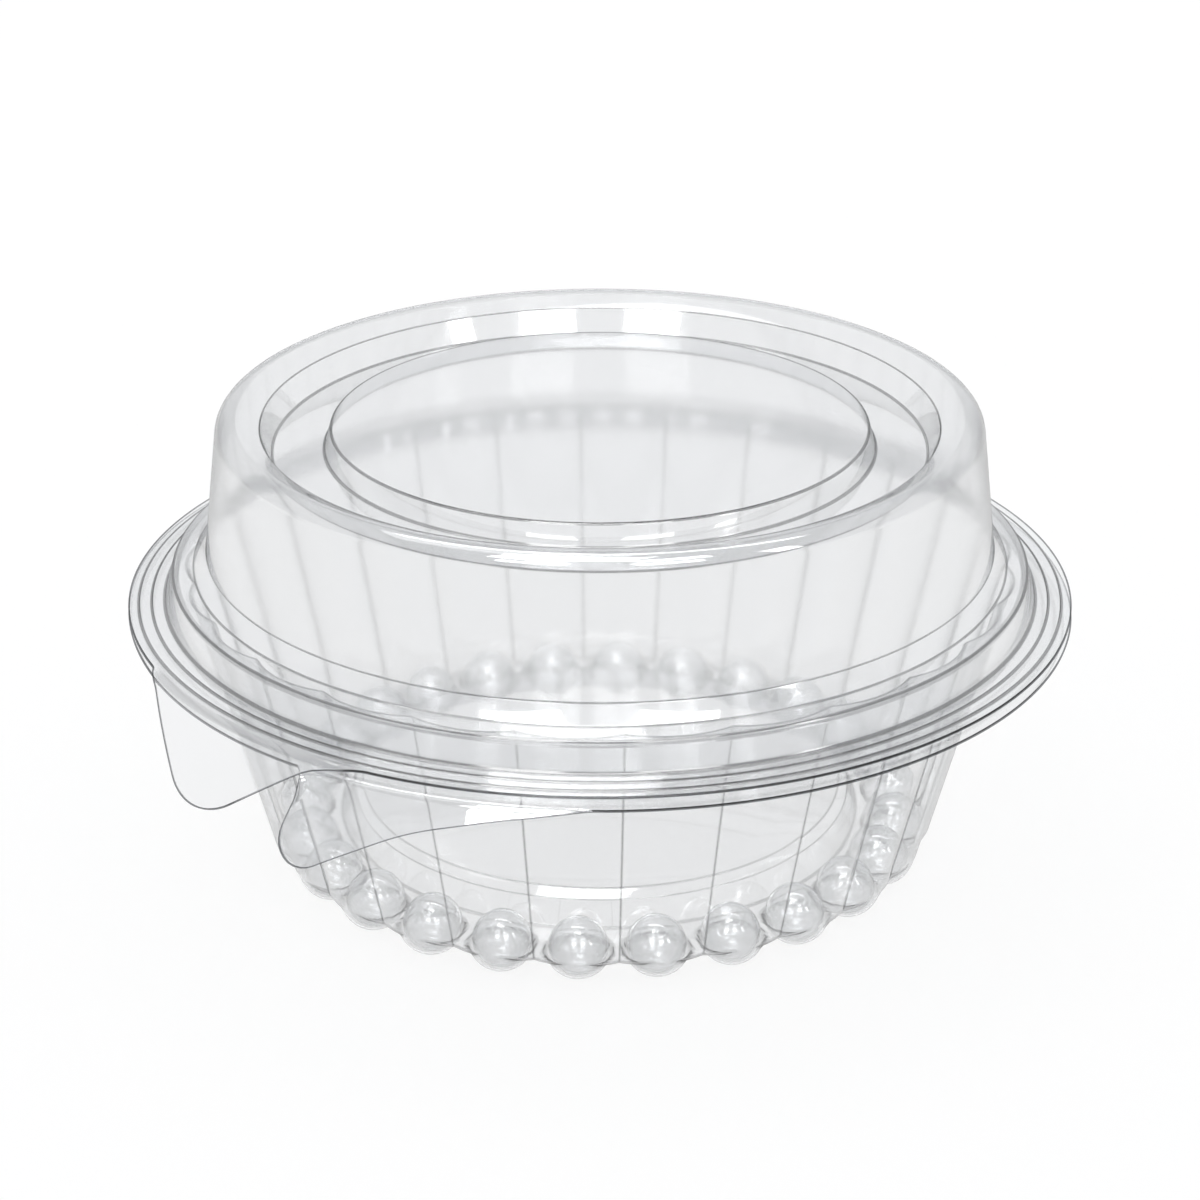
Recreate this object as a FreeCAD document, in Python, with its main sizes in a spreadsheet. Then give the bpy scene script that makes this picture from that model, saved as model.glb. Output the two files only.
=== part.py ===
import FreeCAD, Part
import math
import os

# Clear clamshell pack with a round fluted bowl and a dome lid, formed from one plastic sheet.
# Units are millimetres. The origin is on the bowl's axis, on the table under the feet.
# +Z is up, the lift tabs are at -Y and the living hinge is at +Y, parallel to X.
# The sheet is split at the hinge fold, because the lid turns there.

# Driving dimensions: alias, value, meaning.
SIZES = (
    ("sheet_gauge", 0.5, "thickness of the formed sheet"),
    ("nest_gap", 0.3, "clearance between the lid's underside and the bowl's bead"),
    ("flange_height", 54.4, "table to the top of the lid's flange, at the foot of its skirt"),
    ("rim_radius", 83.6, "outer corner of the lid's ledge, over the bowl's bead"),
    ("skirt_run", 1.6, "how far the lid's skirt flares down to its flange"),
    ("flange_width", 7.3, "from the skirt's foot to the edge of both flanges"),
    ("flange_ring_drop", 0.3, "each of the two fine steps on the lid's flange"),
    ("inner_ring_inset", 4.8, "inner fine step, in from the flange's edge"),
    ("outer_ring_inset", 2.3, "outer fine step, in from the flange's edge"),
    ("flange_droop", 2.3, "how far the bowl's flange sags below its root"),
    ("ledge_height", 5.6, "ledge's outer corner above the flange"),
    ("ledge_width", 4.2, "ledge from its outer corner to the sloped step"),
    ("ledge_crown", 0.7, "rise of the ledge towards its inner side"),
    ("shoulder_run", 2.5, "width of the sloped step up to the dome's wall"),
    ("shoulder_rise", 3.3, "height of the sloped step"),
    ("dome_lean", 3.4, "how far the dome's wall leans in towards its top"),
    ("dome_height", 28.0, "dome's wall up to its corner, before rounding"),
    ("dome_corner_bend", 3.2, "rounding of the dome's outer corner"),
    ("crown_width", 8.1, "crown ring from the dome's corner to its inner edge"),
    ("crown_fall", 3.9, "how far the crown ring falls inwards"),
    ("channel_lean", 2.1, "lean of the stacking channel's outer side"),
    ("channel_depth", 5.1, "stacking channel's floor below the crown's inner edge"),
    ("channel_width", 10.1, "flat floor of the stacking channel"),
    ("disc_lean", 1.2, "lean of the raised centre disc's side"),
    ("disc_rise", 4.4, "raised centre disc above the channel's floor"),
    ("small_bend", 1.2, "rounding of the lid's other corners"),
    ("bead_width", 1.9, "top of the bowl's bead, outside the wall"),
    ("wall_draft", 14.3, "lean of the bowl's wall from upright, in degrees"),
    ("flute_count", 26, "flutes, and feet, around the bowl"),
    ("flute_lean", 10.6, "lean of a flute's own axis from upright, in degrees"),
    ("flute_radius", 21.4, "radius of a flute at the rim"),
    ("web_height", 6.5, "underside of the web between the feet"),
    ("foot_radius", 6.4, "outer radius of a ball foot"),
    ("foot_flat", 1.6, "radius of the flat that a foot rests on"),
    ("valley_width", 1.3, "floor between a foot and the platform's riser"),
    ("riser_run", 2.8, "how far the platform's riser leans"),
    ("step_run", 1.7, "width of the platform's edge step"),
    ("step_drop", 1.4, "depth of the platform's edge step"),
    ("platform_height", 11.3, "underside of the raised floor"),
    ("tab_droop", 60.0, "slope of the lift tabs below level, in degrees"),
    ("tab_bend", 2.0, "rounding where a tab leaves its flange"),
    ("lid_tab_angle", -9.1, "direction of the lid's tab from -Y, in degrees"),
    ("bowl_tab_angle", 6.4, "direction of the bowl's tab from -Y, in degrees"),
    ("hinge_width", 52.0, "length of the living hinge"),
    ("hinge_reach", 7.5, "hinge fold outside the flange"),
    ("hinge_gap", 0.25, "running gap between the lid's leaf and the fold"),
    ("leaf_bend", 0.3, "inner rounding where a hinge leaf turns to the fold"),
    ("flange_lap", 1.5, "how far the tabs and the hinge leaves run onto the flanges"),
)

# Lift tab outlines in the tab's own plane: sideways, down the slope, and the corner's rounding.
LID_TAB = (
    (-38.0, -16.0, 0.0),
    (-38.0, -11.2, 0.0),
    (2.0, 20.3, 13.0),
    (23.6, 0.5, 20.0),
    (48.0, -8.5, 0.0),
    (48.0, -16.0, 0.0),
)
BOWL_TAB = (
    (-24.0, -16.0, 0.0),
    (-24.0, -3.0, 0.0),
    (-2.4, -1.2, 4.6),
    (-7.2, 23.1, 5.3),
    (19.3, 5.5, 60.0),
    (57.0, -10.6, 0.0),
    (57.0, -16.0, 0.0),
)

# Radii and heights of the lid that follow from the driving sizes.
FLANGE_RADIUS = "(sizes.rim_radius + sizes.skirt_run + sizes.flange_width)"
LEDGE_TOP = "(sizes.flange_height + sizes.ledge_height + sizes.ledge_crown)"
LEDGE_INNER = "(sizes.rim_radius - sizes.ledge_width)"
DOME_FOOT = f"({LEDGE_INNER} - sizes.shoulder_run)"
DOME_FOOT_LEVEL = f"({LEDGE_TOP} + sizes.shoulder_rise)"
DOME_TOP = f"({DOME_FOOT} - sizes.dome_lean)"
DOME_TOP_LEVEL = f"({DOME_FOOT_LEVEL} + sizes.dome_height)"
CROWN_INNER = f"({DOME_TOP} - sizes.crown_width)"
CROWN_LEVEL = f"({DOME_TOP_LEVEL} - sizes.crown_fall)"
CHANNEL_OUTER = f"({CROWN_INNER} - sizes.channel_lean)"
CHANNEL_LEVEL = f"({CROWN_LEVEL} - sizes.channel_depth)"
DISC_FOOT = f"({CHANNEL_OUTER} - sizes.channel_width)"
DISC_RADIUS = f"({DISC_FOOT} - sizes.disc_lean)"
DISC_LEVEL = f"({CHANNEL_LEVEL} + sizes.disc_rise)"

# Sizes of the bowl that follow from them.
PITCH = "(360 / sizes.flute_count)"
SLOPE = "tan(sizes.wall_draft * 1 deg)"
LEAN = "cos(sizes.wall_draft * 1 deg)"
BEAD_TOP = "(sizes.flange_height + sizes.ledge_height - sizes.sheet_gauge - sizes.nest_gap)"
CREST_RIM = "(sizes.rim_radius - sizes.sheet_gauge - sizes.nest_gap - sizes.bead_width)"
FLUTE_MIDDLE = f"({CREST_RIM} - sizes.flute_radius)"
GROOVE_RIM = (
    f"({FLUTE_MIDDLE} * cos({PITCH} * 1 deg / 2)"
    f" + sqrt(sizes.flute_radius ^ 2 - ({FLUTE_MIDDLE} * sin({PITCH} * 1 deg / 2)) ^ 2))"
)
CREST_FOOT = f"({CREST_RIM} - {SLOPE} * ({BEAD_TOP} - sizes.web_height))"
FOOT_CENTRE = "sqrt(sizes.foot_radius ^ 2 - sizes.foot_flat ^ 2)"
FOOT_RING = (
    f"({CREST_FOOT} - {SLOPE} * (sizes.web_height - {FOOT_CENTRE}) - sizes.foot_radius / {LEAN})"
)

# A flute is part of a leaning cone that runs past the wall by its own radius at both ends.
FLUTE_TAPER = "tan((sizes.wall_draft - sizes.flute_lean) * 1 deg)"
FLUTE_WALL = f"(({BEAD_TOP} - sizes.web_height) / cos(sizes.flute_lean * 1 deg))"
FLUTE_LENGTH = f"({FLUTE_WALL} + 2 * sizes.flute_radius)"
FLUTE_RADIUS_HIGH = f"(sizes.flute_radius * (1 + {FLUTE_TAPER}))"
FLUTE_RADIUS_LOW = f"({FLUTE_RADIUS_HIGH} - {FLUTE_LENGTH} * {FLUTE_TAPER})"
FLUTE_START_ACROSS = (
    f"({CREST_RIM} - sizes.flute_radius * cos(sizes.flute_lean * 1 deg)"
    f" - ({FLUTE_WALL} + sizes.flute_radius) * sin(sizes.flute_lean * 1 deg))"
)
FLUTE_START_UP = (
    f"({BEAD_TOP} + sizes.flute_radius * sin(sizes.flute_lean * 1 deg)"
    f" - ({FLUTE_WALL} + sizes.flute_radius) * cos(sizes.flute_lean * 1 deg))"
)


def fill_sheet(doc):
    """The spreadsheet of driving dimensions, one alias a row."""
    sheet = doc.addObject("Spreadsheet::Sheet", "sizes")
    for row, (alias, value, meaning) in enumerate(SIZES, start=1):
        sheet.set(f"A{row}", alias)
        sheet.set(f"B{row}", str(value))
        sheet.setAlias(f"B{row}", alias)
        sheet.set(f"C{row}", meaning)
    doc.recompute()
    return sheet


def offset_corners(corners, distance):
    """Corners of the same path moved to its right by distance, with their bends matched."""
    moved = []
    last = len(corners) - 1
    for index, (across, up, bend) in enumerate(corners):
        before = heading(corners, max(index - 1, 0))
        after = heading(corners, min(index, last - 1))
        turn = math.atan2(
            before[0] * after[1] - before[1] * after[0], before[0] * after[0] + before[1] * after[1]
        )
        right = (before[1] + after[1], -before[0] - after[0])
        scale = distance / (1 + before[0] * after[0] + before[1] * after[1])
        tighter = distance if turn < 0 else -distance
        moved_bend = max(bend - tighter, 0.0) if bend else 0.0
        moved.append((across + right[0] * scale, up + right[1] * scale, moved_bend))
    return moved


def heading(corners, index):
    """Unit direction of the run that starts at a corner."""
    run = (corners[index + 1][0] - corners[index][0], corners[index + 1][1] - corners[index][1])
    length = math.hypot(*run)
    return (run[0] / length, run[1] / length)


def path_edges(corners, place):
    """Straight runs between the corners, joined by tangent arcs. place puts a corner in space."""
    edges = []
    start = place(corners[0][0], corners[0][1])
    for index in range(1, len(corners)):
        across, up, bend = corners[index]
        corner = place(across, up)
        if index == len(corners) - 1 or not bend:
            edges.append(Part.makeLine(start, corner))
            start = corner
            continue
        before = (corner - place(*corners[index - 1][:2])).normalize()
        after = (place(*corners[index + 1][:2]) - corner).normalize()
        half_turn = before.getAngle(after) / 2
        reach = bend * math.tan(half_turn)
        arc_start = corner - before * reach
        arc_end = corner + after * reach
        inward = (after - before).normalize()
        arc_middle = corner + inward * (bend / math.cos(half_turn) - bend)
        if (arc_start - start).Length > 1e-6:
            edges.append(Part.makeLine(start, arc_start))
        edges.append(Part.Arc(arc_start, arc_middle, arc_end).toShape())
        start = arc_end
    return edges


def upright(across, up):
    """A point of a section in the XZ plane."""
    return FreeCAD.Vector(across, 0, up)


def sideways(across, up):
    """A point of a section in the YZ plane."""
    return FreeCAD.Vector(0, across, up)


def flat(across, up):
    """A point of an outline in the XY plane."""
    return FreeCAD.Vector(across, up, 0)


def sheet_face(corners, gauge, place=upright):
    """Section of a formed sheet: the path, and the same path moved to its right by the gauge."""
    outer = path_edges(corners, place)
    inner = path_edges(offset_corners(corners, gauge), place)
    first = Part.makeLine(outer[0].firstVertex().Point, inner[0].firstVertex().Point)
    end = Part.makeLine(outer[-1].lastVertex().Point, inner[-1].lastVertex().Point)
    wire = Part.Wire(Part.__sortEdges__(outer + inner + [first, end]))
    return Part.Face(wire)


def closed_face(corners, place=upright):
    """A face inside a closed path of corners."""
    loop = list(corners) + [corners[0][:2] + (0.0,)]
    return Part.Face(Part.Wire(Part.__sortEdges__(path_edges(loop, place))))


def add_section(doc, name, face):
    section = doc.addObject("Part::Feature", name)
    section.Shape = face
    return section


def revolve(doc, name, section, angle="360", turn=None):
    """A section turned about the bowl's axis, then turned to its place."""
    spun = doc.addObject("Part::Revolution", name)
    spun.Source = section
    spun.Axis = (0, 0, 1)
    spun.Base = (0, 0, 0)
    spun.Solid = False
    spun.setExpression("Angle", angle)
    if turn:
        spun.setExpression("Placement.Rotation.Angle", turn)
    return spun


def extrude(doc, name, section, direction, length, symmetric=True):
    """A face pushed out along a direction."""
    pushed = doc.addObject("Part::Extrusion", name)
    pushed.Base = section
    pushed.DirMode = "Custom"
    pushed.Dir = direction
    pushed.Solid = True
    pushed.Symmetric = symmetric
    pushed.setExpression("LengthFwd", length)
    return pushed


def combine(doc, kind, name, shapes):
    """A fuse or a common of several shapes."""
    whole = doc.addObject(kind, name)
    whole.Shapes = shapes
    whole.Refine = True
    return whole


def cut(doc, name, base, tool):
    left = doc.addObject("Part::Cut", name)
    left.Base = base
    left.Tool = tool
    left.Refine = True
    return left


def lid_rim_corners(value):
    """The lid's outer surface from the dome's foot to the flange edge."""
    flange = value("sizes.flange_height")
    drop = value("sizes.flange_ring_drop")
    bend = value("sizes.small_bend")
    edge = value(FLANGE_RADIUS)
    inner = edge - value("sizes.inner_ring_inset")
    outer = edge - value("sizes.outer_ring_inset")
    return [
        (value(DOME_FOOT), value(DOME_FOOT_LEVEL), bend),
        (value(LEDGE_INNER), value(LEDGE_TOP), bend),
        (value("sizes.rim_radius"), flange + value("sizes.ledge_height"), bend),
        (value("sizes.rim_radius + sizes.skirt_run"), flange, bend),
        (inner, flange, 0.0),
        (inner + drop, flange - drop, 0.0),
        (outer, flange - drop, 0.0),
        (outer + drop, flange - 2 * drop, 0.0),
        (edge, flange - 2 * drop, 0.0),
    ]


def lid_corners(value):
    """The lid's outer surface from its centre to the flange edge."""
    bend = value("sizes.small_bend")
    top = [
        (0.0, value(DISC_LEVEL), 0.0),
        (value(DISC_RADIUS), value(DISC_LEVEL), bend),
        (value(DISC_FOOT), value(CHANNEL_LEVEL), bend),
        (value(CHANNEL_OUTER), value(CHANNEL_LEVEL), bend),
        (value(CROWN_INNER), value(CROWN_LEVEL), bend),
        (value(DOME_TOP), value(DOME_TOP_LEVEL), value("sizes.dome_corner_bend")),
    ]
    return top + lid_rim_corners(value)


def bowl_rim_corners(value):
    """The bowl's upper surface from inside the bead to the flange edge, nested under the lid."""
    under = offset_corners(lid_rim_corners(value), value("sizes.sheet_gauge + sizes.nest_gap"))
    bead_outer = under[2]
    skirt_foot = under[3]
    bead_top = value(BEAD_TOP)
    lean = (skirt_foot[0] - bead_outer[0]) / (bead_outer[1] - skirt_foot[1])
    bend = value("sizes.small_bend")
    corner_radius = bead_outer[0] - lean * (bead_top - bead_outer[1])
    inner_radius = value(f"{GROOVE_RIM} - sizes.sheet_gauge / 2")
    return [
        (inner_radius, bead_top, 0.0),
        (corner_radius, bead_top, bend),
        (skirt_foot[0], skirt_foot[1], bend),
        (value(FLANGE_RADIUS), skirt_foot[1] - value("sizes.flange_droop"), 0.0),
    ]


def lift_tab(doc, name, edge, gauge, outline, angle, value):
    """A lift tab: a drooping strip turned about the axis, trimmed to the tab's outline."""
    droop = math.radians(value("sizes.tab_droop"))
    length = max(down for across, down, bend in outline)
    lap = value("sizes.flange_lap")
    strip = [
        (edge[0] - lap, edge[1] + lap * edge[2], 0.0),
        (edge[0], edge[1], value("sizes.tab_bend")),
        (edge[0] + length * math.cos(droop), edge[1] - length * math.sin(droop), 0.0),
    ]
    section = add_section(doc, f"{name}_section", sheet_face(strip, gauge))
    band = revolve(doc, f"{name}_band", section)
    face = add_section(doc, f"{name}_outline", closed_face(outline, flat))
    trim = extrude(doc, f"{name}_trim", face, (0, 0, 1), str(2 * length))
    down_slope = FreeCAD.Vector(0, -math.cos(droop), -math.sin(droop))
    along = FreeCAD.Vector(1, 0, 0)
    plane = FreeCAD.Matrix(
        along.x, down_slope.x, along.cross(down_slope).x, 0,
        along.y, down_slope.y, along.cross(down_slope).y, -edge[0],
        along.z, down_slope.z, along.cross(down_slope).z, edge[1],
        0, 0, 0, 1,
    )
    turned = FreeCAD.Placement(
        FreeCAD.Vector(), FreeCAD.Rotation(FreeCAD.Vector(0, 0, 1), value(angle))
    )
    trim.Placement = turned.multiply(FreeCAD.Placement(plane))
    return combine(doc, "Part::MultiCommon", name, [band, trim])


def hinge_leaf(doc, name, corners, gauge):
    """A strip from the flange edge to the hinge fold, clear of the flange's own section."""
    section = add_section(doc, f"{name}_section", sheet_face(corners, gauge, sideways))
    strip = extrude(doc, f"{name}_strip", section, (1, 0, 0), "sizes.hinge_width")
    inside = doc.addObject("Part::Cylinder", f"{name}_inside")
    inside.setExpression("Radius", f"{FLANGE_RADIUS} - sizes.flange_lap")
    inside.setExpression("Height", "2 * sizes.flange_height")
    return cut(doc, name, strip, inside)


def leaf_start(value):
    """Distance behind the axis where a hinge leaf starts, well inside the flange."""
    return value(
        f"sqrt(({FLANGE_RADIUS} - 2 * sizes.flange_lap) ^ 2 - (sizes.hinge_width / 2) ^ 2)"
    )


def hinge_axis(value):
    """Distance behind the axis, and height, of the hinge fold."""
    gauge = value("sizes.sheet_gauge")
    lid_edge = lid_rim_corners(value)[-1][1]
    bowl_edge = bowl_rim_corners(value)[-1][1]
    return value(f"{FLANGE_RADIUS} + sizes.hinge_reach"), (lid_edge + bowl_edge - gauge) / 2


def build_lid(doc, value):
    gauge = value("sizes.sheet_gauge")
    corners = lid_corners(value)
    section = add_section(doc, "lid_section", sheet_face(corners, gauge))
    shell = revolve(doc, "lid_shell", section)
    edge = corners[-1]
    tab = lift_tab(
        doc, "lid_tab", (edge[0], edge[1], 0.0), gauge, LID_TAB, "sizes.lid_tab_angle", value
    )
    fold, height = hinge_axis(value)
    half = gauge / 2
    leaf_end = (half + value("sizes.hinge_gap")) * math.sqrt(0.5)
    side = half * math.sqrt(0.5)
    leaf_corners = [
        (leaf_start(value), edge[1], 0.0),
        (fold + 2 * side - (edge[1] - height), edge[1], value("sizes.sheet_gauge + sizes.leaf_bend")),
        (fold + side - leaf_end, height + side + leaf_end, 0.0),
    ]
    leaf = hinge_leaf(doc, "lid_leaf", leaf_corners, gauge)
    return combine(doc, "Part::MultiFuse", "lid", [shell, tab, leaf])


def wedge(doc, name, radius, bottom):
    """One flute's share of a round column, from a level up to the bead's top."""
    share = doc.addObject("Part::Cylinder", name)
    share.setExpression("Radius", radius)
    share.setExpression("Height", f"{BEAD_TOP} - {bottom}")
    share.setExpression("Angle", PITCH)
    share.setExpression("Placement.Base.z", bottom)
    share.setExpression("Placement.Rotation.Angle", f"-{PITCH} / 2")
    return share


def flute_blank(doc, name, inset, foot_level):
    """One flute's share of the bowl's outside or inside: flute, core and ball foot, fused."""
    cone = doc.addObject("Part::Cone", f"{name}_cone")
    cone.setExpression("Radius1", f"{FLUTE_RADIUS_LOW} - {inset}")
    cone.setExpression("Radius2", f"{FLUTE_RADIUS_HIGH} - {inset}")
    cone.setExpression("Height", FLUTE_LENGTH)
    cone.Placement.Rotation = FreeCAD.Rotation(FreeCAD.Vector(0, 1, 0), 1)
    cone.setExpression("Placement.Rotation.Angle", "sizes.flute_lean")
    cone.setExpression("Placement.Base.x", FLUTE_START_ACROSS)
    cone.setExpression("Placement.Base.z", FLUTE_START_UP)
    flute_wedge = wedge(doc, f"{name}_flute_wedge", FLANGE_RADIUS, foot_level)
    flute = combine(doc, "Part::MultiCommon", f"{name}_flute", [cone, flute_wedge])

    core = wedge(doc, f"{name}_core", FOOT_RING, foot_level)

    ball = doc.addObject("Part::Sphere", f"{name}_ball")
    ball.setExpression("Radius", f"sizes.foot_radius - {inset}")
    ball.setExpression("Placement.Base.x", FOOT_RING)
    ball.setExpression("Placement.Base.z", FOOT_CENTRE)
    table_wedge = wedge(doc, f"{name}_ball_wedge", FLANGE_RADIUS, "0")
    foot = combine(doc, "Part::MultiCommon", f"{name}_foot", [ball, table_wedge])
    return combine(doc, "Part::MultiFuse", f"{name}_blank", [flute, core, foot])


def floor_corners(value, lift):
    """Space under the floor: level platform, edge step, riser and web. lift raises it by a wall."""
    riser_foot = value(f"{FOOT_RING} - sizes.foot_radius - sizes.valley_width")
    step_foot = riser_foot - value("sizes.riser_run")
    step_edge = step_foot - value("sizes.step_run")
    top = value("sizes.platform_height")
    step = top - value("sizes.step_drop")
    path = [
        (0.0, top, 0.0),
        (step_edge, top, 0.0),
        (step_foot, step, 0.0),
        (riser_foot, value("sizes.web_height"), 0.0),
    ]
    if lift:
        path = [(corner[0], corner[1], 0.0) for corner in offset_corners(path, -lift)]
        path[0] = (0.0, top + lift, 0.0)
        path[-1] = (path[-1][0], value("sizes.web_height") + lift, 0.0)
    below_table = -value("sizes.sheet_gauge")
    return path + [(path[-1][0], below_table, 0.0), (0.0, below_table, 0.0)]


def build_bowl(doc, value):
    gauge = value("sizes.sheet_gauge")
    rim = bowl_rim_corners(value)
    rim_section = add_section(doc, "bowl_rim_section", sheet_face(rim, gauge))
    rim_share = revolve(doc, "bowl_rim_share", rim_section, PITCH, f"-{PITCH} / 2")

    under_section = add_section(doc, "under_floor_section", closed_face(floor_corners(value, 0)))
    under_floor = revolve(doc, "under_floor", under_section)
    floor_section = add_section(doc, "floor_top_section", closed_face(floor_corners(value, gauge)))
    floor_top = revolve(doc, "floor_top", floor_section)

    outside = flute_blank(doc, "outside", "0", "sizes.web_height")
    outside_floor = cut(doc, "outside_floor", outside, under_floor)
    with_rim = combine(doc, "Part::MultiFuse", "outside_rim", [outside_floor, rim_share])

    inside_level = "(sizes.web_height + sizes.sheet_gauge)"
    inside = flute_blank(doc, "inside", "sizes.sheet_gauge", inside_level)
    inside_floor = cut(doc, "inside_floor", inside, floor_top)
    share = cut(doc, "flute_share", with_rim, inside_floor)

    body = doc.addObject("PartDesign::Body", "fluted_bowl")
    body.BaseFeature = share
    ring = body.newObject("PartDesign::PolarPattern", "flute_ring")
    ring.TransformMode = "Whole shape"
    ring.BaseFeature = body.Group[0]
    axis = [part for part in body.Origin.OriginFeatures if part.Role == "Z_Axis"][0]
    ring.Axis = (axis, [""])
    ring.Angle = 360
    ring.setExpression("Occurrences", "sizes.flute_count")
    ring.Refine = True
    body.Tip = ring
    body.Placement.Rotation = FreeCAD.Rotation(
        FreeCAD.Vector(0, 0, 1), value(f"{PITCH} / 2") - 90
    )

    edge = rim[-1]
    slope = (rim[-2][1] - edge[1]) / (edge[0] - rim[-2][0])
    tab = lift_tab(
        doc, "bowl_tab", (edge[0], edge[1], slope), gauge, BOWL_TAB, "sizes.bowl_tab_angle", value
    )

    fold, height = hinge_axis(value)
    side = gauge / 2 * math.sqrt(0.5)
    leaf_corners = [
        (leaf_start(value), edge[1], 0.0),
        (fold - 2 * side - (height - edge[1]), edge[1], value("sizes.leaf_bend")),
        (fold - side, height + side, 0.0),
    ]
    leaf = hinge_leaf(doc, "bowl_leaf", leaf_corners, gauge)
    crease = doc.addObject("Part::Cylinder", "hinge_crease")
    crease.setExpression("Radius", "sizes.sheet_gauge / 2")
    crease.setExpression("Height", "sizes.hinge_width")
    crease.Placement = FreeCAD.Placement(
        FreeCAD.Vector(-value("sizes.hinge_width") / 2, fold, height),
        FreeCAD.Rotation(FreeCAD.Vector(0, 1, 0), 90),
    )
    return combine(doc, "Part::MultiFuse", "bowl", [body, tab, leaf, crease])


def check_and_export(doc, pieces):
    """Stop on any failed object, then write each piece's shape."""
    for item in doc.Objects:
        if "Invalid" in item.State or "Error" in item.State:
            raise RuntimeError(f"{item.Label} failed: {item.State}")
    os.makedirs("parts", exist_ok=True)
    for piece in pieces:
        shape = piece.Shape
        if shape.isNull() or not shape.isValid():
            raise RuntimeError(f"{piece.Label} has no valid shape")
        print(piece.Label, len(shape.Solids), "solid", round(shape.Volume, 1), "mm3", shape.BoundBox)
        shape.exportStep(f"parts/{piece.Label}.step")


def main():
    doc = FreeCAD.newDocument("clamshell_pack")
    sheet = fill_sheet(doc)

    def value(formula):
        return float(sheet.evalExpression(formula))

    pieces = [build_bowl(doc, value), build_lid(doc, value)]
    doc.recompute()
    check_and_export(doc, pieces)


main()
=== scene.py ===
import math

import bmesh
import bpy
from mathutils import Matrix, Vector


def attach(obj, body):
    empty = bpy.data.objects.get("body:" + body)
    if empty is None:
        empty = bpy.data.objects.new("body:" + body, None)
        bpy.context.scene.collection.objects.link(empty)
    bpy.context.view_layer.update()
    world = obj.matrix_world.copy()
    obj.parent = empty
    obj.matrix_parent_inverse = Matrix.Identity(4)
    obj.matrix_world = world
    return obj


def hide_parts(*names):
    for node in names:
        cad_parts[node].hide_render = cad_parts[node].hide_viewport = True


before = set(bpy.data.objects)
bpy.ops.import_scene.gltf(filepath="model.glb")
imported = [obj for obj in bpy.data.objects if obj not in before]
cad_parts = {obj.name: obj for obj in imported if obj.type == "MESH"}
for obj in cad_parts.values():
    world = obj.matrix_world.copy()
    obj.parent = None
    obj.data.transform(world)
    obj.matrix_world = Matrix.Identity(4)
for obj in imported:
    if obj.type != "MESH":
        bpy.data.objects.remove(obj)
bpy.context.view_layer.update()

# Looks of the clear clamshell pack. Sizes are in millimetres and are turned to metres as meshes are made.
MM = 0.001
SHEET = 0.4
FLUTES = 26
PITCH = 2 * math.pi / FLUTES
HINGE_REACH = PITCH + PITCH * 0.17
FLANGE_EDGE = 92.35
FLANGE_JOIN = 91.3

# Rounded corners get fewer points below the first of these radii and more above the second.
FINE_ROUNDING = 0.5
WIDE_ROUNDING = 3.0

# Lid's upper surface from the middle out: distance from the axis, height, rounding.
LID_LINE = (
    (44.0, 87.4, 0.0),
    (52.0, 87.4, 0.65),
    (53.2, 83.0, 0.65),
    (63.3, 83.0, 0.65),
    (65.4, 88.1, 0.65),
    (73.5, 92.0, 3.2),
    (76.9, 64.0, 0.75),
    (79.4, 60.7, 0.75),
    (83.6, 60.0, 0.75),
    (85.2, 54.4, 0.75),
    (87.7, 54.4, 0.45),
    (88.0, 54.1, 0.45),
    (90.2, 54.1, 0.45),
    (90.5, 53.8, 0.45),
    (FLANGE_JOIN, 53.8, 0.0),
)
LID_EDGE_HEIGHT = 53.8

# Bowl's outer and lower surface.
PLATFORM_LINE = (
    (42.0, 11.3, 0.0),
    (48.585, 11.3, 0.5),
    (50.285, 9.9, 0.5),
    (52.3, 4.7, 1.0),
    (53.6, 4.7, 0.0),
)
FOOT_RING = 60.785
FOOT_RADIUS = 6.4
FOOT_CENTRE = 6.2
FOOT_EDGE = FOOT_RADIUS * 0.985
FOOT_FLARE = 6.0
FOOT_BLEND = 1.3
FOOT_ROWS = 30
WEB_HEIGHT = 4.7
WEB_BEND = 1.6
WALL_FOOT = 6.3
FLUTE_FOOT = 6.5
WALL_SLOPE = math.tan(math.radians(14.3))
CREST_AT_TABLE = 65.81
FLUTE_RADIUS_LOW = 18.0
FLUTE_RADIUS_HIGH = 21.4
BEAD_UNDER = 58.7
WALL_TOP = 58.1
WALL_ROWS = 12
EASING = 0.65

# Turn from the wall to the bead's top: distance out and distance below it.
WALL_TURN = ((0.1, 0.25), (0.32, 0.06), (0.65, 0.0))

# Bead, its outer side and the drooping flange.
RIM_LINE = (
    (82.62, BEAD_UNDER, 0.7),
    (84.1, 53.35, 1.7),
    (FLANGE_JOIN, 51.13, 0.0),
)
BOWL_EDGE_HEIGHT = 50.78
BALL_RADIUS = 5.6
BALL_PLACE = (60.3, 5.85)

# The bowl's flange lifts at the left of its tabs, where the sheet is less bent.
SAG_START = 84.6
SAG_LIFT = 1.7
SAG_ANGLE = math.radians(62)

# Lift tab outlines in the tab's own plane: sideways, down the slope, rounding.
LID_TAB = ((-38.0, -16.0, 0.0), (-38.0, -11.2, 0.0), (2.0, 20.0, 13.0), (23.6, 0.5, 20.0), (48.0, -8.5, 0.0))
BOWL_TAB = (
    (-24.0, -3.0, 0.0),
    (-2.4, -1.2, 4.6),
    (-7.2, 22.7, 5.3),
    (19.3, 5.5, 60.0),
    (57.0, -10.6, 0.0),
)
LID_TAB_TURN = math.radians(-9.1)
BOWL_TAB_TURN = math.radians(6.4)
TAB_DROOP = math.radians(60)
TAB_BEND = 2.0
TAB_ROWS = 14
TAB_FADE = 6
# Width of the outer strip that takes the cut edge's painted shade.
BORDER = 0.3

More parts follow.
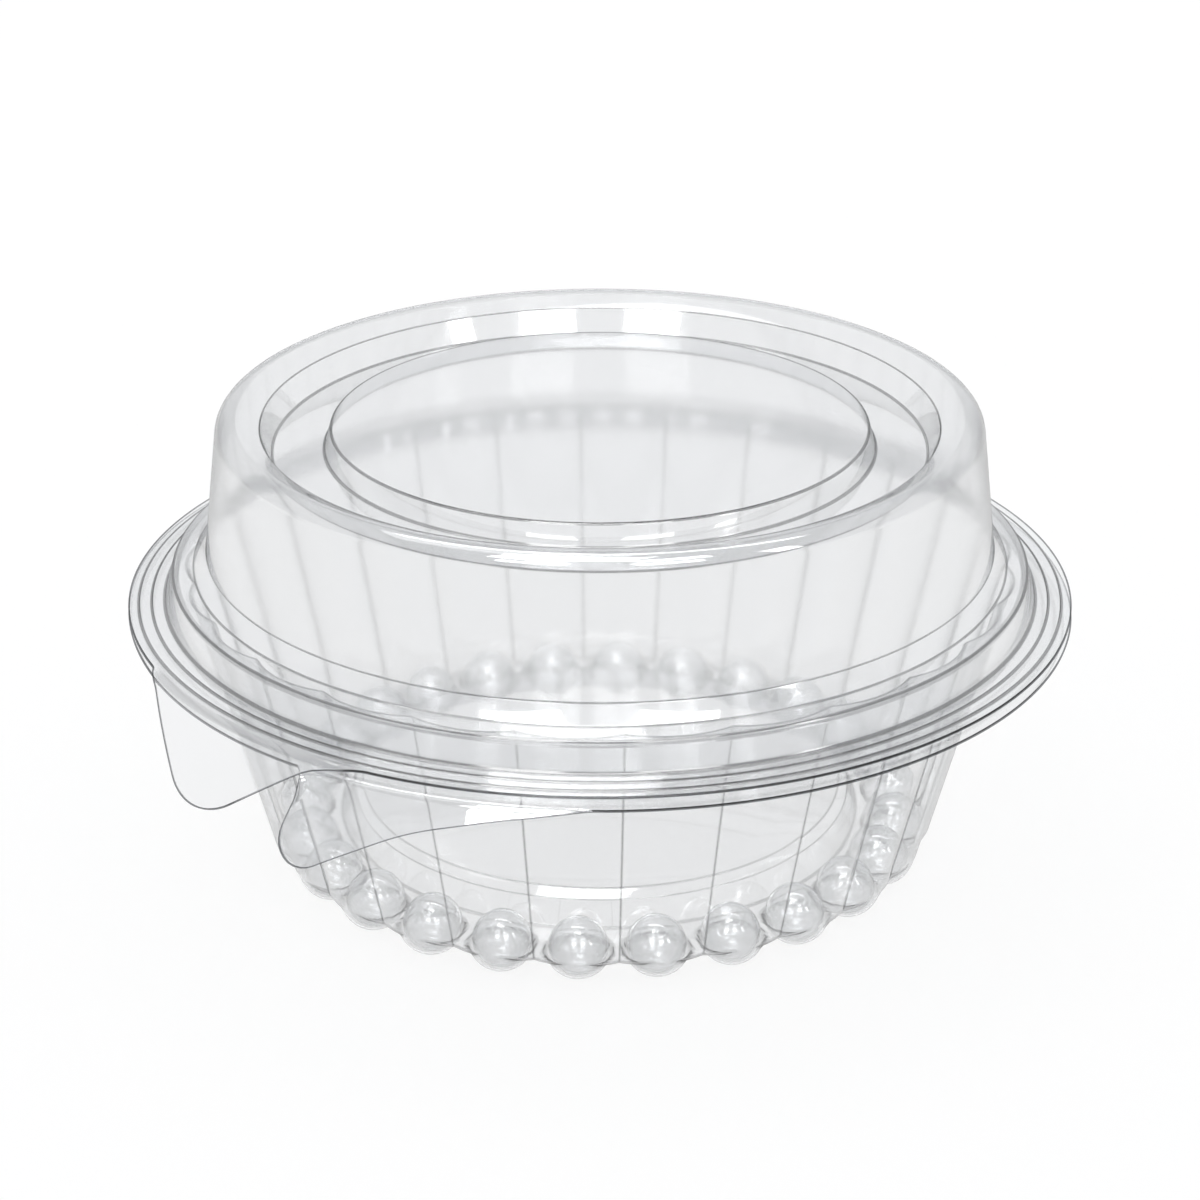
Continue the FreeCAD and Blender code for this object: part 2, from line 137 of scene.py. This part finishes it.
# Hinge at the back: distance from the axis and height of the fold, and of each leaf's corner and tip.
FOLD = (100.0, 52.3)
LID_LEAF = ((98.854, 53.8), (99.823, 52.83))
BOWL_LEAF = ((98.646, 50.8), (99.99, 52.1))
LEAF_ROWS = (2.0, 0.8, 0.3)
CREASE_RADIUS = 0.249

# Weld distances, and limits for the map of bends, in millimetres.
WELD = 0.004
TINY = 0.001
TIGHTEST_BEND = 1.5
CAP_CORNERS = 40


def rounded(line, steps=5):
    """Points along a line of corners, each corner turned by an arc of its own rounding."""
    points = [line[0][:2]]
    for before, corner, after in zip(line, line[1:], line[2:]):
        here = Vector(corner[:2])
        back = (Vector(before[:2]) - here).normalized()
        ahead = (Vector(after[:2]) - here).normalized()
        if not corner[2]:
            points.append(tuple(here))
            continue
        half = back.angle(ahead) / 2
        reach = corner[2] / math.tan(half)
        middle = here + (back + ahead).normalized() * (corner[2] / math.sin(half))
        start = here + back * reach - middle
        turn = math.pi - 2 * half
        side = 1 if start.x * (here - middle).y - start.y * (here - middle).x > 0 else -1
        count = steps if corner[2] > FINE_ROUNDING else steps - 1
        if corner[2] > WIDE_ROUNDING:
            count = steps + 5
        for step in range(count + 1):
            swing = side * turn * step / count
            points.append((
                middle.x + start.x * math.cos(swing) - start.y * math.sin(swing),
                middle.y + start.x * math.sin(swing) + start.y * math.cos(swing),
            ))
    points.append(line[-1][:2])
    return points


def sector_angles():
    """Angles across one flute, closer together towards the grooves at its sides."""
    shares = [0.0, 0.09, 0.18, 0.27, 0.36, 0.45, 0.54, 0.63, 0.72, 0.81, 0.9, 0.965, 1.0]
    half = [share * PITCH / 2 for share in shares]
    return [-angle for angle in reversed(half[1:])] + half


SECTOR = sector_angles()
RING = [flute * PITCH + PITCH / 2 + angle for flute in range(FLUTES) for angle in SECTOR[:-1]]
RING = [angle if angle < math.pi + 1e-9 else angle - 2 * math.pi for angle in RING]


def put(angle, radius, height):
    """A point at an angle from the tabs' side, in metres."""
    return (radius * math.sin(angle) * MM, -radius * math.cos(angle) * MM, height * MM)


def flute_wall(angle, height):
    """Distance of the fluted wall's outer surface from the axis."""
    crest = CREST_AT_TABLE + WALL_SLOPE * height
    share = (height - FLUTE_FOOT) / (BEAD_UNDER - FLUTE_FOOT)
    radius = FLUTE_RADIUS_LOW + (FLUTE_RADIUS_HIGH - FLUTE_RADIUS_LOW) * share
    middle = crest - radius
    return middle * math.cos(angle) + math.sqrt(radius**2 - (middle * math.sin(angle)) ** 2)


def smooth_least(first, second, width):
    """The lesser of two numbers, with a rounded change from one to the other."""
    mix = max(width - abs(first - second), 0.0) / width
    return min(first, second) - mix * mix * width / 4


def foot_height(angle, radius, wall):
    """Height of the lower surface around a foot."""
    away = math.hypot(radius * math.cos(angle) - FOOT_RING, radius * math.sin(angle))
    ball = FOOT_CENTRE - math.sqrt(FOOT_RADIUS**2 - min(away, FOOT_EDGE) ** 2)
    ball += max(away - FOOT_EDGE, 0.0) * FOOT_FLARE
    gap = wall - radius
    web = WEB_HEIGHT
    if gap < WEB_BEND:
        web += WEB_BEND - math.sqrt(max(WEB_BEND**2 - (WEB_BEND - gap) ** 2, 0.0))
    return max(smooth_least(ball, web, FOOT_BLEND), 0.0)


def bowl_column(angle):
    """One upright section of the bowl, from the floor to the flange, at an angle from a flute's middle."""
    points = rounded(PLATFORM_LINE, 4)
    start = points[-1][0]
    wall = flute_wall(angle, WALL_FOOT)
    for step in range(1, FOOT_ROWS + 1):
        share = step / FOOT_ROWS
        eased = share * (1 - EASING) + EASING * (1 - math.cos(math.pi * share)) / 2
        radius = start + (wall - start) * eased
        points.append((radius, foot_height(angle, radius, wall)))
    for step in range(1, WALL_ROWS + 1):
        height = WALL_FOOT + (WALL_TOP - WALL_FOOT) * step / WALL_ROWS
        points.append((flute_wall(angle, height), height))
    top = flute_wall(angle, BEAD_UNDER)
    points += [(top + out, BEAD_UNDER - down) for out, down in WALL_TURN]
    return points + rounded((points[-1] + (0.0,),) + RIM_LINE)[1:]


def lid_column(_angle):
    """One upright section of the lid, the same at every angle."""
    return rounded(LID_LINE, 4)


def sector_mesh(name, column):
    """A skin one flute wide, made of upright sections."""
    columns = [[put(PITCH / 2 + angle, *point) for point in column(angle)] for angle in SECTOR]
    rows = len(columns[0])
    verts = [vert for line in columns for vert in line]
    faces = []
    for left in range(len(columns) - 1):
        for row in range(rows - 1):
            low = left * rows + row
            faces.append((low, low + rows, low + rows + 1, low + 1))
    mesh = bpy.data.meshes.new(name)
    mesh.from_pydata(verts, [], faces)
    return mesh


def ring_tree():
    """Geometry Nodes: copies of a piece turned about the pack's axis, welded into one mesh."""
    tree = bpy.data.node_groups.new("ring_of_flutes", "GeometryNodeTree")
    face = tree.interface
    face.new_socket("Geometry", in_out="INPUT", socket_type="NodeSocketGeometry")
    face.new_socket("Count", in_out="INPUT", socket_type="NodeSocketInt")
    face.new_socket("Weld distance", in_out="INPUT", socket_type="NodeSocketFloat")
    face.new_socket("Plastic", in_out="INPUT", socket_type="NodeSocketMaterial")
    face.new_socket("Geometry", in_out="OUTPUT", socket_type="NodeSocketGeometry")
    new, link = tree.nodes.new, tree.links.new
    given, made = new("NodeGroupInput"), new("NodeGroupOutput")
    points = new("GeometryNodePoints")
    number = new("GeometryNodeInputIndex")
    full_turn = new("ShaderNodeMath")
    full_turn.operation = "DIVIDE"
    full_turn.inputs[0].default_value = 2 * math.pi
    link(given.outputs["Count"], full_turn.inputs[1])
    turn = new("ShaderNodeMath")
    turn.operation = "MULTIPLY"
    link(number.outputs[0], turn.inputs[0])
    link(full_turn.outputs[0], turn.inputs[1])
    axis = new("ShaderNodeCombineXYZ")
    link(turn.outputs[0], axis.inputs["Z"])
    copies = new("GeometryNodeInstanceOnPoints")
    link(given.outputs["Count"], points.inputs["Count"])
    link(points.outputs[0], copies.inputs["Points"])
    link(given.outputs["Geometry"], copies.inputs["Instance"])
    link(axis.outputs[0], copies.inputs["Rotation"])
    real = new("GeometryNodeRealizeInstances")
    weld = new("GeometryNodeMergeByDistance")
    finish = new("GeometryNodeSetMaterial")
    link(copies.outputs[0], real.inputs[0])
    link(real.outputs[0], weld.inputs[0])
    link(given.outputs["Weld distance"], weld.inputs["Distance"])
    link(weld.outputs[0], finish.inputs["Geometry"])
    link(given.outputs["Plastic"], finish.inputs["Material"])
    link(finish.outputs[0], made.inputs[0])
    return tree


def ring_of(mesh, tree, weld, plastic):
    """The plain mesh that the tree makes of one sector."""
    base = bpy.data.objects.new(mesh.name, mesh)
    bpy.context.scene.collection.objects.link(base)
    ring = base.modifiers.new("ring", "NODES")
    ring.node_group = tree
    values = {"Count": FLUTES, "Weld distance": weld, "Plastic": plastic}
    for socket in tree.interface.items_tree:
        if socket.in_out == "INPUT" and socket.name in values:
            ring[socket.identifier] = values[socket.name]
    whole = bpy.data.meshes.new_from_object(base.evaluated_get(bpy.context.evaluated_depsgraph_get()))
    bpy.data.objects.remove(base)
    whole.polygons.foreach_set("material_index", [0] * len(whole.polygons))
    return whole


def tab_outline(corners, steps=10):
    """Edge of a lift tab as (angle round the rim, distance down the slope), from left to right."""
    lean = math.cos(TAB_DROOP)
    flat = rounded(corners, steps)
    dense = []
    for first, second in zip(flat, flat[1:]):
        count = max(1, int(math.dist(first, second) / 1.0))
        for step in range(count):
            share = step / count
            across = first[0] + (second[0] - first[0]) * share
            dense.append((across, first[1] + (second[1] - first[1]) * share))
    dense.append(flat[-1])
    edge = []
    for across, down in dense:
        angle, slope = across / FLANGE_EDGE, down
        for _ in range(12):
            radius = FLANGE_EDGE + slope * lean
            angle = math.asin(max(-1, min(1, across / radius)))
            slope = down + lean * radius * (1 - math.cos(angle))
        edge.append((angle, slope))
    inside = [index for index, point in enumerate(edge) if point[1] > 0]
    return edge[inside[0] - 1 : inside[-1] + 2]


def along(edge, share):
    """A point at a share of the length of an outline."""
    lengths = [0.0]
    for first, second in zip(edge, edge[1:]):
        lengths.append(lengths[-1] + math.hypot((second[0] - first[0]) * FLANGE_EDGE, second[1] - first[1]))
    wanted = share * lengths[-1]
    for index in range(len(edge) - 1):
        if lengths[index + 1] >= wanted:
            part = (wanted - lengths[index]) / max(lengths[index + 1] - lengths[index], 1e-9)
            first, second = edge[index], edge[index + 1]
            return (first[0] + (second[0] - first[0]) * part, first[1] + (second[1] - first[1]) * part)
    return edge[-1]


def bend_point(length, slope):
    """Distance out and down from the joining ring along a tab's path; slope is the flange's own."""
    reach = FLANGE_EDGE - TAB_BEND * math.tan((TAB_DROOP - slope) / 2) - FLANGE_JOIN
    if length < reach:
        return length * math.cos(slope), length * math.sin(slope)
    out, down = reach * math.cos(slope), reach * math.sin(slope)
    turn = min((length - reach) / TAB_BEND, TAB_DROOP - slope)
    out += TAB_BEND * (math.sin(slope + turn) - math.sin(slope))
    down += TAB_BEND * (math.cos(slope) - math.cos(slope + turn))
    rest = length - reach - TAB_BEND * turn
    return out + rest * math.cos(TAB_DROOP), down + rest * math.sin(TAB_DROOP)


def edge_band(name, height, edge_height, outline, turn, leaf):
    """The flange outside the joining ring, with its lift tab and its half of the hinge."""
    order = sorted(range(len(RING)), key=lambda index: RING[index])
    angles = [RING[index] for index in order]
    slope = math.atan2(height - edge_height, FLANGE_EDGE - FLANGE_JOIN)
    arc = TAB_BEND * (TAB_DROOP - slope)
    first = min(range(len(angles)), key=lambda i: abs(angles[i] - turn - outline[0][0]))
    last = min(range(len(angles)), key=lambda i: abs(angles[i] - turn - outline[-1][0]))
    verts, columns = [], []
    for index, angle in enumerate(angles):
        column = [put(angle, FLANGE_JOIN, height)]
        border = height + (edge_height - height) * (1 - BORDER / (FLANGE_EDGE - FLANGE_JOIN))
        from_back = math.pi - abs(angle)
        if first <= index <= last:
            end = along(outline, (index - first) / (last - first))
            length = FLANGE_EDGE - FLANGE_JOIN + max(end[1], 0.0)
            if end[1] > TAB_BEND:
                length = FLANGE_EDGE - FLANGE_JOIN - 0.1 + end[1]
            drop = min(1.0, min(index - first, last - index) / TAB_FADE)
            drop = drop * drop * (3 - 2 * drop)
            half = TAB_ROWS // 2
            for row in range(1, TAB_ROWS + 2):
                reached = (length - BORDER) * row / TAB_ROWS
                if length > 2 * arc:
                    reached = (
                        (arc + 0.1) * row / half
                        if row <= half
                        else arc + 0.1 + (length - BORDER - arc - 0.1) * (row - half) / (TAB_ROWS - half)
                    )
                if row > TAB_ROWS:
                    reached = length
                out, down = bend_point(reached, slope)
                flat_out, flat_down = reached * math.cos(slope), reached * math.sin(slope)
                radius = FLANGE_JOIN + flat_out + (out - flat_out) * drop
                level = height - flat_down - (down - flat_down) * drop
                share = reached / length
                column.append(put(angle + (turn + end[0] - angle) * share, radius, level))
        elif from_back < HINGE_REACH:
            across = FLANGE_EDGE * math.sin(angle)
            column.append(put(angle, FLANGE_EDGE - BORDER, border))
            column.append(put(angle, FLANGE_EDGE, edge_height))
            corner, tip = leaf
            for away in LEAF_ROWS:
                column.append((across * MM, (corner[0] - away) * MM, edge_height * MM))
            rise = 1 if tip[1] > corner[1] else -1
            step = math.sqrt(0.5) * LEAF_ROWS[-1]
            column.append((across * MM, (corner[0] + step) * MM, (corner[1] + rise * step) * MM))
            column.append((across * MM, tip[0] * MM, tip[1] * MM))
        else:
            column.append(put(angle, FLANGE_EDGE - BORDER, border))
            column.append(put(angle, FLANGE_EDGE, edge_height))
        columns.append(list(range(len(verts), len(verts) + len(column))))
        verts += column
    # Faces of the outermost strip take slot 1, the painted shade of the cut edge.
    faces, shaded_border = [], []
    for index, column in enumerate(columns):
        after = columns[(index + 1) % len(columns)]
        at_back = abs(angles[index]) > 2
        if len(column) == len(after) or at_back:
            rows = min(len(column), len(after)) - 1
            for row in range(rows):
                faces.append((column[row], after[row], after[row + 1], column[row + 1]))
                shaded_border.append(1 if row == rows - 1 and not (at_back and rows > 2) else 0)
            continue
        if len(column) < len(after):
            faces.append((column[0], *after[:-1], column[1]))
        else:
            faces.append((column[0], after[0], after[1], *reversed(column[1:-1])))
        faces.append((column[-2], after[-2], after[-1], column[-1]))
        shaded_border += [0, 1]
    mesh = bpy.data.meshes.new(name)
    mesh.from_pydata(verts, [], faces)
    mesh.polygons.foreach_set("material_index", shaded_border)
    return mesh


def sag(angle):
    """How much the bowl's flange lifts at an angle from the tabs' side."""
    away = (angle + SAG_ANGLE + math.pi) % (2 * math.pi) - math.pi
    return SAG_LIFT * math.cos(min(abs(away) / SAG_ANGLE, 1.0) * math.pi / 2) ** 2


def weld_skin(name, parts, upward, plastic, edge_shade_plastic, sagging=False):
    """One sheet made of a ring and its edge band, given its thickness on the inner side."""
    work = bmesh.new()
    for part in parts:
        work.from_mesh(part)
    bmesh.ops.remove_doubles(work, verts=work.verts, dist=WELD * MM)
    bmesh.ops.dissolve_degenerate(work, edges=work.edges, dist=TINY * MM)
    hole = [edge for edge in work.edges if edge.is_boundary and edge.verts[0].co.xy.length < 50 * MM]
    if hole:
        bmesh.ops.contextual_create(work, geom=hole)
    if sagging:
        for vert in work.verts:
            radius = math.hypot(vert.co.x, vert.co.y) / MM
            if radius > SAG_START and vert.co.z / MM > 20:
                angle = math.atan2(vert.co.x, -vert.co.y)
                vert.co.z += sag(angle) * min((radius - SAG_START) / (FLANGE_EDGE - SAG_START), 1.0) * MM
    bmesh.ops.recalc_face_normals(work, faces=work.faces)
    middle = min(work.faces, key=lambda face: face.calc_center_median().xy.length)
    if (middle.normal.z > 0) != upward:
        bmesh.ops.reverse_faces(work, faces=work.faces)
    for face in work.faces:
        face.smooth = True
    mesh = bpy.data.meshes.new(name)
    work.to_mesh(mesh)
    work.free()
    mesh.materials.append(plastic)
    # Slot 1 paints shade on the cut edge.
    mesh.materials.append(edge_shade_plastic)
    piece = bpy.data.objects.new(name, mesh)
    bpy.context.scene.collection.objects.link(piece)
    wall = piece.modifiers.new("sheet", "SOLIDIFY")
    wall.thickness = SHEET * MM
    wall.offset = -1
    wall.use_even_offset = True
    thick = bpy.data.meshes.new_from_object(piece.evaluated_get(bpy.context.evaluated_depsgraph_get()))
    piece.modifiers.clear()
    piece.data = thick
    thick.name = name
    mark_creases(thick)
    mark_bends(thick)
    return piece


def mark_creases(mesh, limit=32):
    """Smooth faces with a sharp edge where two faces turn more than the limit."""
    work = bmesh.new()
    work.from_mesh(mesh)
    for edge in work.edges:
        edge.smooth = len(edge.link_faces) == 2 and edge.calc_face_angle(0) < math.radians(limit)
    for face in work.faces:
        face.smooth = True
    work.to_mesh(mesh)
    work.free()


def mark_bends(mesh):
    """Stores how tightly the sheet bends at each point, as one over the bend's radius in millimetres; the
    plastic paints shade by it.
    """
    work = bmesh.new()
    work.from_mesh(mesh)
    bends = work.verts.layers.float.new("bend")
    for edge in work.edges:
        if len(edge.link_faces) != 2 or max(face.material_index for face in edge.link_faces) > 0:
            continue
        if max(len(face.verts) for face in edge.link_faces) > CAP_CORNERS:
            continue
        across = sum(face.calc_area() for face in edge.link_faces) / 2 / max(edge.calc_length(), 1e-7) / MM
        bend = min(edge.calc_face_angle(0) / max(across, 0.05), TIGHTEST_BEND)
        for vert in edge.verts:
            vert[bends] = max(vert[bends], bend)
    work.to_mesh(mesh)
    work.free()


def ball_mesh(name, radius, middle, steps=24):
    """A round ball in the foot of the first flute; the middle is distance from the axis and height."""
    verts, faces = [], []
    for ring in range(steps // 2 + 1):
        polar = math.pi * ring / (steps // 2)
        for side in range(steps):
            swing = 2 * math.pi * side / steps
            verts.append((
                radius * math.sin(polar) * math.cos(swing),
                radius * math.sin(polar) * math.sin(swing),
                radius * math.cos(polar),
            ))
    for ring in range(steps // 2):
        for side in range(steps):
            low = ring * steps + side
            after = ring * steps + (side + 1) % steps
            faces.append((low, after, after + steps, low + steps))
    place = Vector((middle[0] * math.sin(PITCH / 2), -middle[0] * math.cos(PITCH / 2), middle[1]))
    mesh = bpy.data.meshes.new(name)
    mesh.from_pydata([tuple((Vector(vert) + place) * MM) for vert in verts], [], faces)
    return mesh


def fold_piece(name, half_width, plastic, steps=10):
    """The living hinge's fold: a thin bead along the two leaves."""
    verts, faces = [], []
    for side in (-1, 1):
        for step in range(steps):
            swing = 2 * math.pi * step / steps
            verts.append((
                side * half_width * MM,
                (FOLD[0] + CREASE_RADIUS * math.cos(swing)) * MM,
                (FOLD[1] + CREASE_RADIUS * math.sin(swing)) * MM,
            ))
    for step in range(steps):
        after = (step + 1) % steps
        faces.append((step, after, after + steps, step + steps))
    faces.append(tuple(reversed(range(steps))))
    faces.append(tuple(range(steps, 2 * steps)))
    mesh = bpy.data.meshes.new(name)
    mesh.from_pydata(verts, [], faces)
    mesh.materials.append(plastic)
    piece = bpy.data.objects.new(name, mesh)
    bpy.context.scene.collection.objects.link(piece)
    work = bmesh.new()
    work.from_mesh(mesh)
    bmesh.ops.recalc_face_normals(work, faces=work.faces)
    work.to_mesh(mesh)
    work.free()
    mark_creases(mesh, 50)
    return piece


def clear_plastic(name, clear, shade_deep, bend_shade_share, rough):
    """Clear formed sheet that refracts, with painted shade that darkens its colour at sharp bends and where
    it is seen edge on.
    """
    material = bpy.data.materials.new(name)
    material.use_nodes = True
    tree = material.node_tree
    tree.nodes.clear()
    new, link = tree.nodes.new, tree.links.new
    out = new("ShaderNodeOutputMaterial")
    # Painted shade where the sheet is seen edge on.
    facing = new("ShaderNodeLayerWeight")
    facing.inputs["Blend"].default_value = 0.5
    edge_on = new("ShaderNodeMath")
    edge_on.operation = "POWER"
    edge_on.inputs[1].default_value = 8.0
    link(facing.outputs["Facing"], edge_on.inputs[0])
    grazing_shade = new("ShaderNodeMath")
    grazing_shade.operation = "MULTIPLY"
    grazing_shade.inputs[1].default_value = 0.5
    link(edge_on.outputs[0], grazing_shade.inputs[0])
    # Painted shade at sharp bends, read from the bend map.
    bent = new("ShaderNodeAttribute")
    bent.attribute_name = "bend"
    bend_shade = new("ShaderNodeMapRange")
    bend_shade.inputs["From Min"].default_value = 0.2
    bend_shade.inputs["From Max"].default_value = 1.2
    bend_shade.inputs["To Max"].default_value = bend_shade_share
    link(bent.outputs["Fac"], bend_shade.inputs["Value"])
    shade = new("ShaderNodeMath")
    shade.operation = "ADD"
    shade.use_clamp = True
    link(bend_shade.outputs[0], shade.inputs[0])
    link(grazing_shade.outputs[0], shade.inputs[1])
    # The sheet's clear colour mixed towards the painted shade's dark colour.
    tint_and_shade = new("ShaderNodeMix")
    tint_and_shade.data_type = "RGBA"
    tint_and_shade.inputs["A"].default_value = (clear, clear * 1.002, clear * 1.004, 1)
    tint_and_shade.inputs["B"].default_value = (shade_deep, shade_deep * 1.02, shade_deep * 1.05, 1)
    link(shade.outputs[0], tint_and_shade.inputs["Factor"])
    glass = new("ShaderNodeBsdfGlass")
    glass.inputs["IOR"].default_value = 1.5
    glass.inputs["Roughness"].default_value = rough
    link(tint_and_shade.outputs["Result"], glass.inputs["Color"])
    gloss = new("ShaderNodeBsdfGlossy")
    gloss.inputs["Color"].default_value = (1, 1, 1, 1)
    gloss.inputs["Roughness"].default_value = 0.0
    skin = new("ShaderNodeMixShader")
    skin.inputs[0].default_value = 0.07
    link(glass.outputs[0], skin.inputs[1])
    link(gloss.outputs[0], skin.inputs[2])
    lit = new("ShaderNodeBsdfTransparent")
    lit.inputs["Color"].default_value = (0.88, 0.88, 0.88, 1)
    path = new("ShaderNodeLightPath")
    mix = new("ShaderNodeMixShader")
    link(path.outputs["Is Shadow Ray"], mix.inputs[0])
    link(skin.outputs[0], mix.inputs[1])
    link(lit.outputs[0], mix.inputs[2])
    link(mix.outputs[0], out.inputs["Surface"])
    return material


def painted_edge_shade(name, edge_shade_tone):
    """The cut edge of the sheet, in a dark see-through colour that paints the shade seen there, where the
    light that runs along inside the sheet doesn't come out.
    """
    material = bpy.data.materials.new(name)
    material.use_nodes = True
    tree = material.node_tree
    tree.nodes.clear()
    new, link = tree.nodes.new, tree.links.new
    out = new("ShaderNodeOutputMaterial")
    through = new("ShaderNodeBsdfTransparent")
    through.inputs["Color"].default_value = (edge_shade_tone, edge_shade_tone * 1.01, edge_shade_tone * 1.03, 1)
    gloss = new("ShaderNodeBsdfGlossy")
    gloss.inputs["Roughness"].default_value = 0.2
    mix = new("ShaderNodeMixShader")
    mix.inputs[0].default_value = 0.06
    link(through.outputs[0], mix.inputs[1])
    link(gloss.outputs[0], mix.inputs[2])
    link(mix.outputs[0], out.inputs["Surface"])
    return material


def softbox(name, toward, size, light, glint=True, away=1.6, aim=(0, 0, 0.05)):
    """A flat rectangular lamp in a direction from the pack, facing it; a glint lamp is hidden from diffuse
    rays.
    """
    lamp = bpy.data.lights.new(name, "AREA")
    lamp.shape = "RECTANGLE"
    lamp.size, lamp.size_y = size
    lamp.energy = light * size[0] * size[1] * math.pi
    holder = bpy.data.objects.new(name, lamp)
    bpy.context.scene.collection.objects.link(holder)
    direction = Vector(toward).normalized()
    holder.visible_diffuse = not glint
    holder.location = Vector(aim) + direction * away
    holder.rotation_euler = direction.to_track_quat("Z", "Y").to_euler()
    return holder


def build_stage():
    """White floor that keeps the shadow, and a plain white world."""
    mesh = bpy.data.meshes.new("floor")
    reach = 8.0
    corners = [(-reach, -reach, 0), (reach, -reach, 0), (reach, reach, 0), (-reach, reach, 0)]
    mesh.from_pydata(corners, [], [(0, 1, 2, 3)])
    floor = bpy.data.objects.new("floor", mesh)
    bpy.context.scene.collection.objects.link(floor)
    floor.location = (0, 0, -0.0001)
    material = bpy.data.materials.new("pale_floor")
    material.use_nodes = True
    tree = material.node_tree
    tree.nodes.clear()
    new, link = tree.nodes.new, tree.links.new
    out = new("ShaderNodeOutputMaterial")
    paper = new("ShaderNodeBsdfDiffuse")
    paper.inputs["Color"].default_value = (0.95, 0.95, 0.95, 1)
    white = new("ShaderNodeEmission")
    white.inputs["Color"].default_value = (1, 1, 1, 1)
    white.inputs["Strength"].default_value = 1.0
    ray = new("ShaderNodeLightPath")
    seen = new("ShaderNodeMath")
    seen.operation = "MAXIMUM"
    link(ray.outputs["Is Camera Ray"], seen.inputs[0])
    link(ray.outputs["Is Glossy Ray"], seen.inputs[1])
    clear = new("ShaderNodeMath")
    clear.operation = "MAXIMUM"
    link(seen.outputs[0], clear.inputs[0])
    link(ray.outputs["Is Transmission Ray"], clear.inputs[1])
    share = new("ShaderNodeMath")
    share.operation = "MULTIPLY"
    share.inputs[1].default_value = 0.86
    link(clear.outputs[0], share.inputs[0])
    cover = new("ShaderNodeMixShader")
    link(share.outputs[0], cover.inputs[0])
    link(paper.outputs[0], cover.inputs[1])
    link(white.outputs[0], cover.inputs[2])
    link(cover.outputs[0], out.inputs["Surface"])
    mesh.materials.append(material)
    world = bpy.data.worlds.new("studio")
    bpy.context.scene.world = world
    world.use_nodes = True
    back = world.node_tree.nodes["Background"]
    back.inputs["Color"].default_value = (0.97, 0.98, 1.0, 1)
    back.inputs["Strength"].default_value = 1.0


def build_camera():
    """Camera matched to the photo's view."""
    lens = bpy.data.cameras.new("camera")
    lens.lens = 90.9
    lens.sensor_width = 36.0
    lens.clip_start = 0.01
    holder = bpy.data.objects.new("camera", lens)
    bpy.context.scene.collection.objects.link(holder)
    holder.location = (0.3408, -0.4299, 0.2946)
    toward = Vector((0, 0, 0.0492)) - holder.location
    holder.rotation_euler = toward.to_track_quat("-Z", "Y").to_euler()
    bpy.context.scene.camera = holder
    return holder


def camera_way(camera, right, up, back):
    """A direction given as the camera sees it, in the pack's frame."""
    turn = camera.rotation_euler.to_matrix()
    return turn @ Vector((right, up, back))


camera = build_camera()
build_stage()
softbox("soft_top", camera_way(camera, -0.25, 0.95, 0.3), (1.8, 1.8), 1.2, False, 3.0)
GLINTS = (
    ("front_window", (-0.09, 0.70, 0.70), (0.75, 0.65), 5.5),
    ("right_strip", (0.73, 0.18, 0.66), (0.22, 0.6), 5.5),
    ("back_strip", (0.05, 0.985, 0.17), (1.6, 0.16), 5.5),
    ("low_pane_left_low", (-0.28, 0.16, 0.90), (0.50, 0.38), 5.0),
    ("low_pane_right_low", (0.28, 0.16, 0.90), (0.50, 0.38), 5.0),
    ("low_pane_left_high", (-0.28, 0.54, 0.90), (0.50, 0.38), 5.0),
    ("low_pane_right_high", (0.28, 0.54, 0.90), (0.50, 0.38), 5.0),
)
for name, way, size, light in GLINTS:
    softbox(name, camera_way(camera, *way), size, light)

# The third and fourth numbers are the painted shade's dark colour and its share at the sharpest bends.
lid_sheet = clear_plastic("clear_lid", 0.958, 0.08, 0.42, 0.065)
sheet = clear_plastic("clear_bowl", 0.947, 0.08, 0.31, 0.03)
# Painted shade for the sheet's cut edge.
shaded_cut_edge = painted_edge_shade("shaded_cut_edge", 0.48)
tree = ring_tree()
lid_skin = ring_of(sector_mesh("lid_ring", lid_column), tree, WELD * MM, lid_sheet)
bowl_skin = ring_of(sector_mesh("bowl_ring", bowl_column), tree, WELD * MM, sheet)
lid_band = edge_band(
    "lid_band", LID_EDGE_HEIGHT, LID_EDGE_HEIGHT, tab_outline(LID_TAB), LID_TAB_TURN, LID_LEAF
)
bowl_band = edge_band(
    "bowl_band", RIM_LINE[-1][1], BOWL_EDGE_HEIGHT, tab_outline(BOWL_TAB), BOWL_TAB_TURN, BOWL_LEAF
)
lid_shell = weld_skin("lid_shell", (lid_skin, lid_band), True, lid_sheet, shaded_cut_edge)
bowl_shell = weld_skin("bowl_shell", (bowl_skin, bowl_band), False, sheet, shaded_cut_edge, True)
balls = ring_of(ball_mesh("foot_ball", BALL_RADIUS, BALL_PLACE), tree, WELD * MM, sheet)
foot_domes = weld_skin("foot_domes", (balls,), True, sheet, shaded_cut_edge)

hinge_fold = fold_piece("hinge_fold", FLANGE_EDGE * math.sin(HINGE_REACH), sheet)

pieces = ((lid_shell, "lid"), (bowl_shell, "bowl"), (foot_domes, "bowl"), (hinge_fold, "bowl"))
for piece, body in pieces:
    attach(piece, body)
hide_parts("lid")
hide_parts("bowl")

scene = bpy.context.scene
scene.view_settings.view_transform = "Standard"
scene.cycles.max_bounces = 28
scene.cycles.transmission_bounces = 28
scene.cycles.transparent_max_bounces = 40
scene.cycles.glossy_bounces = 4
scene.cycles.diffuse_bounces = 2
scene.cycles.caustics_reflective = False
